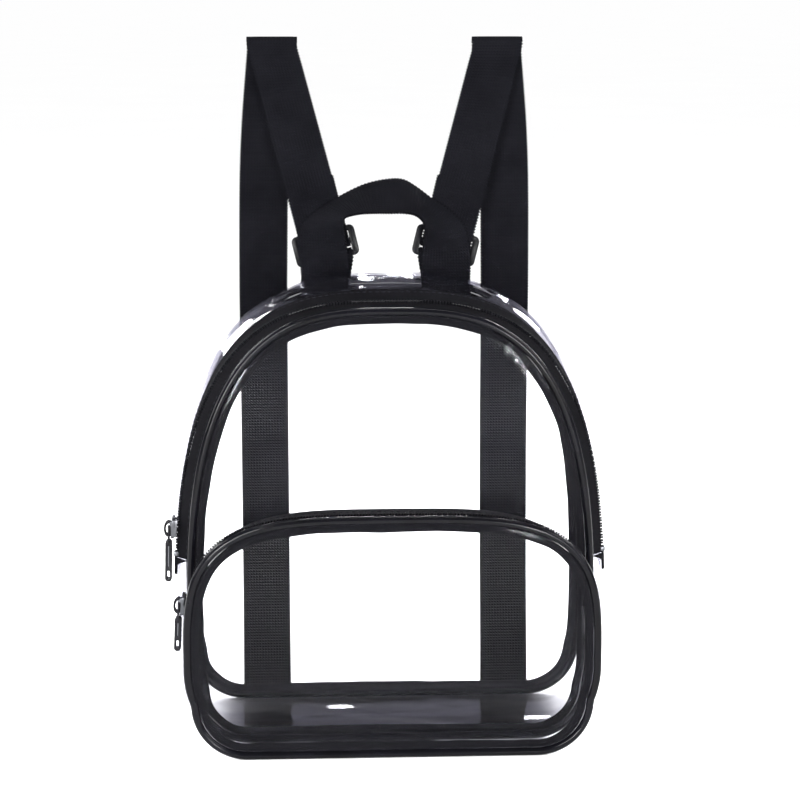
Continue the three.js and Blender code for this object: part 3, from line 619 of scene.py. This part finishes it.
# Zips
def spots_along(line, pitch):
    """Even steps along a line, as near to a pitch in millimetres as fits."""
    total = sum((b - a).length for a, b in zip(line, line[1:]))
    return even_steps(line, int(total / (pitch * MM)))


def axes_at(x, y, z, where):
    """A matrix with three axes as its columns, at a place."""
    matrix = Matrix((x, y, z)).transposed().to_4x4()
    matrix.translation = where
    return matrix


def joined_copies(name, model, matrices):
    """One piece, made of a copy of a model for each matrix."""
    copies = []
    for matrix in matrices:
        copy = model.copy()
        copy.data = model.data.copy()
        copy.data.transform(matrix)
        bpy.context.scene.collection.objects.link(copy)
        copies.append(copy)
    bpy.data.objects.remove(model)
    clear_choice()
    for copy in copies:
        copy.select_set(True)
    bpy.context.view_layer.objects.active = copies[0]
    bpy.ops.object.join()
    return outward(fresh(name))


def stitch_row(name, line, lift, pitch, facing=None):
    """A row of short raised stitches along a line, joined into one piece."""
    clear_choice()
    bpy.ops.mesh.primitive_uv_sphere_add(segments=6, ring_count=4, radius=1)
    model = fresh(name)
    spots = spots_along(line, pitch)
    facings = [facing] * len(spots) if facing else outs_of(spots)
    matrices = []
    for i in range(1, len(spots) - 1):
        along, out = (spots[i + 1] - spots[i - 1]).normalized(), facings[i]
        side = along.cross(out).normalized()
        matrices.append(axes_at(along * (STITCH_LENGTH / 2 * MM), side * (STITCH_RADIUS * MM),
                                out * (STITCH_RADIUS * MM), spots[i] + out * (lift * MM)))
    piece = joined_copies(name, model, matrices)
    smooth_faces(piece, 60)
    return dressed(piece, thread, "zip_tape", "bag")


def coil(name, line, node):
    """Coil teeth: one rounded tooth, copied along the line, in from both sides in turn."""
    clear_choice()
    bpy.ops.mesh.primitive_cube_add(size=1)
    model = fresh(name)
    applied(model, "BEVEL", width=0.28, segments=2, limit_method="NONE", affect="EDGES")
    spots = spots_along(line, TOOTH_PITCH)
    last = len(spots) - 1
    matrices = []
    for i, out in enumerate(outs_of(spots)):
        along = (spots[min(i + 1, last)] - spots[max(i - 1, 0)]).normalized()
        hand = 1 if i % 2 else -1
        matrices.append(axes_at(along * (0.95 * MM), BACK * (2.0 * MM), out * (1.9 * MM),
                                spots[i] + out * (0.15 * MM) + BACK * (hand * 0.2 * MM)))
    piece = joined_copies(name, model, matrices)
    smooth_faces(piece, 40)
    return dressed(piece, coil_gloss, "zip_teeth", "bag", node)


def tape_band(name, outline, y0, depths, z, *nodes, inset=0.0):
    """Zip tape over the crown, with one row of points at each depth."""
    rows = [arch_line(outline(depth, inset), y0 + depth, z, ZIP_STEPS) for depth in depths]
    piece = sheet_from_rows(name, rows, 0.8, offset=-1)
    smooth_faces(outward(piece), 50)
    return dressed(piece, tape_weave, "zip_tape", "bag", *nodes)


def zip_on(word, outline, y0, end_z, rear_to):
    """Both tapes of a zip, the tape that closes it under the teeth, the teeth and two rows of stitches."""
    front = spread(GUSSET_FROM, GUSSET_FROM + TAPE, 10)
    rear = spread(REAR_FROM, rear_to, 10)
    under = spread(GUSSET_FROM + TAPE - 0.4, REAR_FROM + 0.4, 6)
    tape_band(f"{word}_zip_front", outline, y0, front, end_z, f"{word}_zip_tape_front")
    tape_band(f"{word}_zip_rear", outline, y0, rear, end_z, f"{word}_zip_tape_rear")
    tape_band(f"{word}_zip_middle", outline, y0, under, end_z, inset=0.95)
    line = arch_line(outline(TEETH_AT), y0 + TEETH_AT, end_z, ZIP_STEPS)
    coil(f"{word}_coil", line, f"{word}_zip_teeth")
    for i, depth in enumerate((GUSSET_FROM + 1.1, REAR_FROM + 5.2)):
        line = arch_line(outline(depth), y0 + depth, end_z, ZIP_STEPS)
        stitch_row(f"{word}_stitches_{i + 1}", line, 0.1, 3.1)


zip_on("main", main_outline, 0.0, ZIP_END_MAIN, REAR_TO)
zip_on("pocket", pocket_outline, -POCKET_DEPTH, ZIP_END_POCKET, POCKET_REAR_TO)


def end_tab(word, side, outline, y0, end_z, rear_to):
    """Folded tape that closes a zip's end and tapers to a tail."""
    name = f"{word}_zip_end_{'left' if side < 0 else 'right'}"
    rows = []
    middle = (GUSSET_FROM + rear_to) / 2
    for depth in spread(GUSSET_FROM, rear_to, 12):
        row = []
        for z in spread(end_z - END_TAB, end_z - GAP, 14):
            up = clamped((z - end_z + END_TAB - END_TAB_TAIL) / (END_TAB - END_TAB_TAIL))
            at = mixed(middle, depth, mixed(0.24, 1, up * up * (3 - 2 * up)))
            x = cut_half(half_outline(outline(at)), z, True)[0].x
            row.append(place(side * (x + 1.2), y0 + at, z))
        rows.append(row if side < 0 else row[::-1])
    piece = sheet_from_rows(f"{name}_tab", rows, 1.0, offset=-1)
    applied(piece, "BEVEL", width=0.0003, segments=2, limit_method="ANGLE", angle_limit=math.radians(50))
    smooth_faces(outward(piece), 50)
    return dressed(piece, tape_weave, "zip_tape", "bag", name)


for side in (-1, 1):
    end_tab("main", side, main_outline, 0.0, ZIP_END_MAIN, REAR_TO)
    end_tab("pocket", side, pocket_outline, -POCKET_DEPTH, ZIP_END_POCKET, POCKET_REAR_TO)


# Webbing
def webbing(name, points, halves, count, node):
    """Ribbed webbing along points; halves run from the middle to one edge."""
    line, wides = spline(points, count, halves)
    rows, reach = [], 0.0
    for i, p in enumerate(line):
        along = (line[min(i + 1, count)] - line[max(i - 1, 0)]).normalized()
        normal = along.cross(wides[i]).normalized()
        if i:
            reach += (p - line[i - 1]).length
        wave = math.sin(2 * math.pi * reach / (WEBBING_RIB * MM))
        across = [(k / 6 - 1) * (1 + (0.03 * wave if k in (0, 12) else 0)) for k in range(13)]
        ribs = [normal * (0.1 * MM * wave * (1 - min(1, abs(a)) ** 8)) for a in across]
        rows.append([p + wides[i] * a + rib for a, rib in zip(across, ribs)])
    piece = sheet_from_rows(name, rows, WEBBING_THICK, offset=0)
    smooth_faces(outward(piece), 50)
    return dressed(piece, strap_weave, "webbing", "bag", node)


# The handle's two edges from the left seam to the right one:
# first the inner and lower edge, then the outer and upper one
HANDLE_EDGES = [
    ((-18.4, 62.9, SEAM_Z - 10), (-43.4, 62.9, SEAM_Z - 10)), ((-18.3, 62.9, SEAM_Z), (-43.3, 62.9, SEAM_Z)),
    ((-18.9, 61.5, 235), (-43.9, 61.5, 235)), ((-20.2, 60.3, 243.5), (-44.7, 61.6, 242.5)),
    ((-21.6, 56.5, 251.7), (-44.6, 62, 250)), ((-22.2, 50.5, 256.9), (-41.4, 62.3, 256.4)),
    ((-20.8, 45, 260.8), (-33.2, 62.6, 263.3)), ((-15.3, 43, 262.7), (-23.4, 62.8, 269.4)),
    ((-7.7, 43, 263.2), (-10.6, 63.5, 275.4)), ((0.3, 43.5, 263.1), (1.2, 65, 277.8)),
    ((7.9, 43.5, 263.1), (8.9, 64.5, 277.6)), ((13.4, 43, 262.3), (15.0, 63.2, 274.3)),
    ((17.3, 44, 259.7), (23.2, 62.6, 268.2)), ((19.4, 48.5, 255.1), (32.9, 62.3, 261.4)),
    ((19.6, 55, 248.8), (39.9, 62, 254)), ((18.7, 60, 242.3), (42.4, 61.6, 244.6)),
    ((18.4, 61.5, 234.9), (43.4, 61.5, 235.3)), ((18.3, 62.9, SEAM_Z), (43.3, 62.9, SEAM_Z)),
    ((18.4, 62.9, SEAM_Z - 10), (43.4, 62.9, SEAM_Z - 10))]


def grab_handle():
    points, halves = [], []
    for inner, outer in HANDLE_EDGES:
        a, b = place(*inner), place(*outer)
        points.append((a + b) / 2)
        halves.append((b - a) / 2)
    webbing("handle", points, halves, 720, "grab_handle")


grab_handle()

GLIDE_Z, GLIDE_Y, GLIDE_TILT = MAIN_TOP + 24.5, 66.0, math.radians(13.5)
BAR, SLOT = 2.4, 4.4
WRAP = BAR / 2 + GAP + WEBBING_THICK / 2
TAB_REAR_Y, TAB_FRONT_Y = 66.7, 64.8


def glide_place(side, u, v):
    return place(side * (HANDLE_X + u * math.sin(GLIDE_TILT)), GLIDE_Y + v, GLIDE_Z + u * math.cos(GLIDE_TILT))


def glide_half(side):
    return Vector((math.cos(GLIDE_TILT), 0, -side * math.sin(GLIDE_TILT))) * (WEBBING / 2 * MM)


FLAT_HALF = Vector((WEBBING / 2 * MM, 0, 0))


def wrap_places(side, u, up):
    out = []
    for i in range(9):
        a = i / 8 * math.pi
        out.append(glide_place(side, u + up * WRAP * math.sin(a), -WRAP * math.cos(a)))
    return out


def anchor_tab(word, side):
    under = -(3 * BAR + 2 * SLOT) / 2 - 2 * GAP
    front = [place(side * HANDLE_X, TAB_FRONT_Y, z) for z in (SEAM_Z - 10, SEAM_Z + BEAD)]
    rear = [place(side * HANDLE_X, TAB_REAR_Y, z) for z in (SEAM_Z + BEAD + GAP, SEAM_Z - 10)]
    points = [*front, glide_place(side, under, -WRAP), *wrap_places(side, -(BAR + SLOT), 1),
              glide_place(side, under, WRAP), *rear]
    halves = [FLAT_HALF if i < 2 or i > len(points) - 3 else glide_half(side) for i in range(len(points))]
    webbing(f"tab_{word}", points, halves, 260, f"anchor_tab_{word}")


# A strap's rear leg from its foot: shares of its rise, of its bow to the rear and of its lean inwards
REAR_LEG = [(0, 0, 0), (0.06, 0.12, 0), (0.2, 0.62, 0), (0.42, 1, 0),
            (0.65, 0.9, 0.02), (0.85, 0.62, 0.3), (1, 0.44, 1)]
STRAP_TOP_X, STRAP_FOOT_X, STRAP_BOW, FOLD = 57.5, 63.5, 15.0, 3.2


def shoulder_strap(word, side):
    foot_z, foot_y = 2 * BEAD + GAP, MAIN_DEPTH + 0.5 + GAP + WEBBING_THICK / 2
    low_top = MAIN_TOP + 130.5 - WEBBING_THICK / 2 - FOLD
    rear = [place(side * mixed(STRAP_FOOT_X, STRAP_TOP_X, lean), foot_y + STRAP_BOW * bow,
                  mixed(foot_z, low_top, rise)) for rise, bow, lean in REAR_LEG]
    rear_y, front_y = foot_y + STRAP_BOW * 0.44, MAIN_DEPTH + 5 - FOLD
    fold = []
    for i in range(1, 8):
        a = i / 8 * math.pi
        y = (rear_y + front_y) / 2 + (rear_y - front_y) / 2 * math.cos(a)
        fold.append(place(side * STRAP_TOP_X, y, low_top + FOLD * math.sin(a)))
    over = 2 * BAR + SLOT
    front_top, front_low = place(side * STRAP_TOP_X, front_y, low_top), glide_place(side, over, -WRAP)
    down = [front_top.lerp(front_low, i / 8) for i in range(9)]
    tail = [glide_place(side, over, WRAP), glide_place(side, 34, WRAP)]
    points = [*spline(rear, 16), *fold, *down, *wrap_places(side, 0, -1), *tail]
    start = 17 + len(fold)
    halves = [mixed(FLAT_HALF, glide_half(side), clamped((i - start) / 8)) for i in range(len(points))]
    webbing(f"strap_{word}", points, halves, 1900, f"shoulder_strap_{word}")


for word, side in HANDS:
    anchor_tab(word, side)
    shoulder_strap(word, side)


def box_stitch(name, x, y, z, wide, tall):
    """A stitched box with a cross in it, on the rear face of a strap's foot."""
    corners = [(-1, -1), (1, -1), (1, 1), (-1, 1), (-1, -1), (1, 1), (1, -1), (-1, 1)]
    line = [place(x + a * wide / 2, y, z + b * tall / 2) for a, b in corners]
    stitch_row(name, line, 0.05, 2.6, BACK)


for word, side in HANDS:
    box_stitch(f"foot_stitches_{word}", side * STRAP_FOOT_X, MAIN_DEPTH + 2.6, 14.0, 18.0, 12.0)


# Hard parts
def rounded(x0, x1, z0, z1, corner, steps=5):
    """A rectangle with round corners, in the plane of X and Z."""
    points = []
    for x, z, start in ((x1 - corner, z1 - corner, 0), (x0 + corner, z1 - corner, 90),
                        (x0 + corner, z0 + corner, 180), (x1 - corner, z0 + corner, 270)):
        for i in range(steps + 1):
            a = math.radians(start + 90 * i / steps)
            points.append((x + corner * math.cos(a), z + corner * math.sin(a)))
    return points


def blank(name, outline, near, far):
    """A flat blank cut to an outline in X and Z, from one depth in Y to another."""
    clear_choice()
    bpy.ops.mesh.primitive_circle_add(vertices=len(outline), radius=1, fill_type="NGON")
    piece = fresh(name)
    for vertex, (x, z) in zip(piece.data.vertices, outline):
        vertex.co = Vector((x, near, z)) * MM
    bpy.ops.object.mode_set(mode="EDIT")
    bpy.ops.mesh.select_all(action="SELECT")
    bpy.ops.mesh.extrude_region_move(TRANSFORM_OT_translate={"value": (0, (far - near) * MM, 0)})
    bpy.ops.object.mode_set(mode="OBJECT")
    return outward(piece)


def carved(piece, tool, operation="DIFFERENCE"):
    applied(piece, "BOOLEAN", object=tool, operation=operation, solver="EXACT")
    bpy.data.objects.remove(tool)
    return piece


def eased(piece, width, segments=3):
    return applied(piece, "BEVEL", width=width * MM, segments=segments, limit_method="ANGLE",
                   angle_limit=math.radians(40), use_clamp_overlap=True)


def seated(piece, place_matrix):
    piece.matrix_world = place_matrix @ piece.matrix_world
    settle(piece)
    return smooth_faces(piece, 45)


TRI_GLIDE_HALF, TRI_GLIDE_TALL, TRI_SLOT_HALF = 16.5, 8.0, 13.1


def tri_glide(word, side):
    frame_line = rounded(-TRI_GLIDE_HALF, TRI_GLIDE_HALF, -TRI_GLIDE_TALL, TRI_GLIDE_TALL, 2.8)
    piece = blank(f"glide_{word}", frame_line, -BAR / 2, BAR / 2)
    for row in (-1, 1):
        middle = row * (BAR + SLOT) / 2
        slot = rounded(-TRI_SLOT_HALF, TRI_SLOT_HALF, middle - SLOT / 2, middle + SLOT / 2, 0.9)
        carved(piece, blank("slot_tool", slot, -3, 3))
    eased(piece, 0.55)
    seated(piece, Matrix.Translation(glide_place(side, 0, 0)) @ Matrix.Rotation(side * GLIDE_TILT, 4, "Y"))
    dressed(piece, moulded_black, "black_plastic", "bag", f"strap_slider_{word}")


for word, side in HANDS:
    tri_glide(word, side)

SLIDER_LONG, SLIDER_WIDE, PLATE_NEAR, PLATE_FAR, PIVOT = 11.0, 8.0, -1.5, -3.1, -4.4
MAIN_SLIDER_Z, MAIN_PULL_LONG, MAIN_PULL_LEAN = 110.0, 28.0, -3.0
POCKET_SLIDER_Z, POCKET_PULL_LONG, POCKET_PULL_LEAN = 77.0, 24.0, -5.0


def slider_seat(outline, y0, z):
    """Where a slider sits on the zip's left side: X into the bag and the teeth along Z."""
    widest = [max(cut_half(half_outline(outline(TEETH_AT + step * SLIDER_WIDE / 2)), height, True)[0].x
                  for step in (-1, 0, 1)) for height in (z - SLIDER_LONG / 2, z, z + SLIDER_LONG / 2)]
    lean = math.atan2(widest[0] - widest[2], SLIDER_LONG)
    return Matrix.Translation(place(-widest[1], y0 + TEETH_AT, z)) @ Matrix.Rotation(lean, 4, "Y")


def zip_slider(word, seat):
    """Top plate with a waist and side wings, a bridge, and the ring that the pull hangs in."""
    half, rise = SLIDER_WIDE / 2, SLIDER_LONG / 2
    shape = [(-half, rise - 1.4), (-half + 1.4, rise), (half - 1.4, rise), (half, rise - 1.4), (half, 1.5),
             (half - 0.7, -1.5), (half - 0.9, 1 - rise), (half - 1.9, -rise), (1.9 - half, -rise),
             (0.9 - half, 1 - rise), (0.7 - half, -1.5), (-half, 1.5)]
    plate = blank(f"{word}_slider_plate", shape, PLATE_NEAR, PLATE_FAR)
    for side in (-1, 1):
        wing = rounded(side * (half - 1.1) - 0.55, side * (half - 1.1) + 0.55, 1 - rise, rise - 1.2, 0.4, 3)
        carved(plate, blank("wing", wing, -0.35, PLATE_NEAR - 0.6), "UNION")
    bridge = rounded(-1.1, 1.1, -3.4, 3.2, 0.9)
    carved(plate, blank("bridge", bridge, PLATE_FAR + 0.4, PLATE_FAR - 1.0), "UNION")
    eased(plate, 0.3, 2)
    seated(plate, seat @ Matrix.Rotation(-math.pi / 2, 4, "Z"))
    dressed(plate, slider_metal, "dark_metal", "bag", f"{word}_zip_slider")
    clear_choice()
    bpy.ops.mesh.primitive_torus_add(major_segments=36, minor_segments=12,
                                     major_radius=1.9 * MM, minor_radius=0.62 * MM)
    ring = fresh(f"{word}_slider_ring")
    ring.matrix_world = (Matrix.Translation(Vector((PIVOT - 0.1, 0, -0.9)) * MM)
                         @ Matrix.Diagonal((1, 1.5, 1.8, 1)) @ Matrix.Rotation(math.pi / 2, 4, "X"))
    settle(ring)
    outward(ring)
    seated(ring, seat)
    dressed(ring, enamel, "dark_metal", "bag")


def zip_pull(word, seat, length, lean):
    """Thin eye round the ring, and a thick grooved body with a slot near its round end. A strip of lighter
    metal in each groove is a painted highlight.
    """
    hang = (seat @ Matrix.Translation(Vector((PIVOT, 0, 0)) * MM)
            @ Matrix.Rotation(math.radians(lean), 4, "Y"))
    eye = blank(f"{word}_pull_blade", rounded(-2.6, 2.6, -8.2, 0.6, 1.0), -0.5, 0.5)
    carved(eye, blank("eye_tool", rounded(-1.5, 1.5, -4.9, -0.6, 0.7), -2, 2))
    eye.matrix_world = Matrix.Rotation(math.pi / 2, 4, "Z")
    settle(eye)
    body = blank("pull_body", rounded(-1.75, 1.75, -length, -6.6, 1.7, 7), -2.1, 2.1)
    carved(body, blank("hole_tool", rounded(-0.6, 0.6, 1.6 - length, 5.6 - length, 0.58), -4, 4))
    for face in (-1, 1):
        groove = rounded(-0.45, 0.45, 7.6 - length, -9.2, 0.4)
        carved(body, blank("groove_tool", groove, face * 1.55, face * 3))
    eased(body, 0.45)
    carved(eye, body, "UNION")
    eased(eye, 0.12, 1)
    seated(eye, hang)
    dressed(eye, enamel, "dark_metal", f"{word}_pull", f"{word}_zip_pull")
    # Painted highlight: a strip of lighter metal in each groove stands in for the bright line that light draws
    # along it
    for face, where in ((-1, "front"), (1, "rear")):
        strip = rounded(-0.28, 0.28, 7.9 - length, -9.5, 0.26)
        highlight_inlay = blank(f"{word}_pull_highlight_line_{where}", strip, face * 1.5, face * 2.15)
        seated(highlight_inlay, hang)
        dressed(highlight_inlay, slider_metal, "dark_metal", f"{word}_pull")


MAIN_SEAT = slider_seat(main_outline, 0.0, MAIN_SLIDER_Z)
POCKET_SEAT = slider_seat(pocket_outline, -POCKET_DEPTH, POCKET_SLIDER_Z)
zip_slider("main", MAIN_SEAT)
zip_slider("pocket", POCKET_SEAT)
zip_pull("main", MAIN_SEAT, MAIN_PULL_LONG, MAIN_PULL_LEAN)
zip_pull("pocket", POCKET_SEAT, POCKET_PULL_LONG, POCKET_PULL_LEAN)


def zip_stop(name, side, outline, y0, z):
    """A small clamped stop across the coil at a zip's end."""
    x = cut_half(half_outline(outline(TEETH_AT)), z, True)[0].x
    stop = blank(name, rounded(-1.3, 1.3, -1.3, 1.3, 0.5), -1.7, 1.7)
    eased(stop, 0.35, 2)
    seated(stop, Matrix.Translation(place(side * (x + 0.3), y0 + TEETH_AT, z)))
    dressed(stop, slider_metal, "dark_metal", "bag")


for word, outline, y0, z in (("main", main_outline, 0.0, ZIP_END_MAIN + 1.6),
                             ("pocket", pocket_outline, -POCKET_DEPTH, ZIP_END_POCKET + 1.6)):
    for hand, side in HANDS:
        zip_stop(f"{word}_stop_{hand}", side, outline, y0, z)

# Floor, backdrop and light
paper, paper_tree, paper_shader = finish("pale_paper", (0.99, 0.99, 0.99), 0.9, level=0.0)
paper_shade = blend_colours(paper_tree, grain(paper_tree, 4), (0.985, 0.985, 0.988), (0.995, 0.995, 0.995))
paper_tree.links.new(paper_shade, paper_shader.inputs["Base Color"])
clear_choice()
bpy.ops.mesh.primitive_circle_add(vertices=96, radius=100, fill_type="NGON",
                                  location=(0, 0, cad_low.z - 0.0002))
floor = settle(fresh("floor"))
floor.data.materials.append(paper)


def soft_light(name, where, towards, size, power):
    """An area light, with its place and sizes in metres, that the camera doesn't see."""
    lamp = bpy.data.lights.new(name, "AREA")
    lamp.shape, lamp.size, lamp.size_y = "RECTANGLE", size[0], size[1]
    lamp.energy = power
    holder = bpy.data.objects.new(name, lamp)
    holder.location = where
    holder.rotation_euler = (Vector(towards) - Vector(where)).to_track_quat("-Z", "Y").to_euler()
    holder.visible_camera = False
    bpy.context.scene.collection.objects.link(holder)


soft_light("strip_front_left", (-0.42, -1.25, 0.15), (0, 0, -0.2), (0.05, 0.8), 16)
soft_light("box_front_right", (0.5, -1.2, -0.02), (0, 0, -0.2), (0.3, 0.5), 5)
soft_light("low_left", (-0.36, -1.2, -0.24), (0, 0, -0.25), (0.05, 0.16), 8)
soft_light("low_right", (0.3, -1.25, -0.22), (0, 0, -0.2), (0.05, 0.16), 7)
soft_light("strip_above", (0, 0.05, 1.0), (0, 0, -0.2), (1.1, 0.07), 7)
soft_light("strip_side_left", (-1.1, 0.15, 0.35), (0, 0, -0.15), (0.08, 0.9), 14)
soft_light("strip_side_right", (1.0, -0.35, 0.4), (0, 0, -0.15), (0.06, 0.9), 12)
soft_light("rim_behind", (0.05, 0.9, 0.3), (0, 0, -0.12), (0.9, 0.06), 8)
soft_light("rim_left", (-0.7, 0.85, 0.35), (0, 0, -0.15), (0.07, 0.6), 8)
soft_light("rim_right", (0.75, 0.8, 0.35), (0, 0, -0.15), (0.07, 0.6), 8)

sky = bpy.data.worlds.new("studio")
sky.use_nodes = True
# White all round, but dim and lilac where gloss reflects it
glossy_ray = sky.node_tree.nodes.new("ShaderNodeLightPath").outputs["Is Glossy Ray"]
studio = blend_colours(sky.node_tree, glossy_ray, (1, 1, 1), (0.36, 0.355, 0.43), 0.0, 1.0)
sky.node_tree.links.new(studio, sky.node_tree.nodes["Background"].inputs["Color"])
sky.node_tree.nodes["Background"].inputs["Strength"].default_value = 1.0
sky.cycles.sampling_method = "NONE"
bpy.context.scene.world = sky
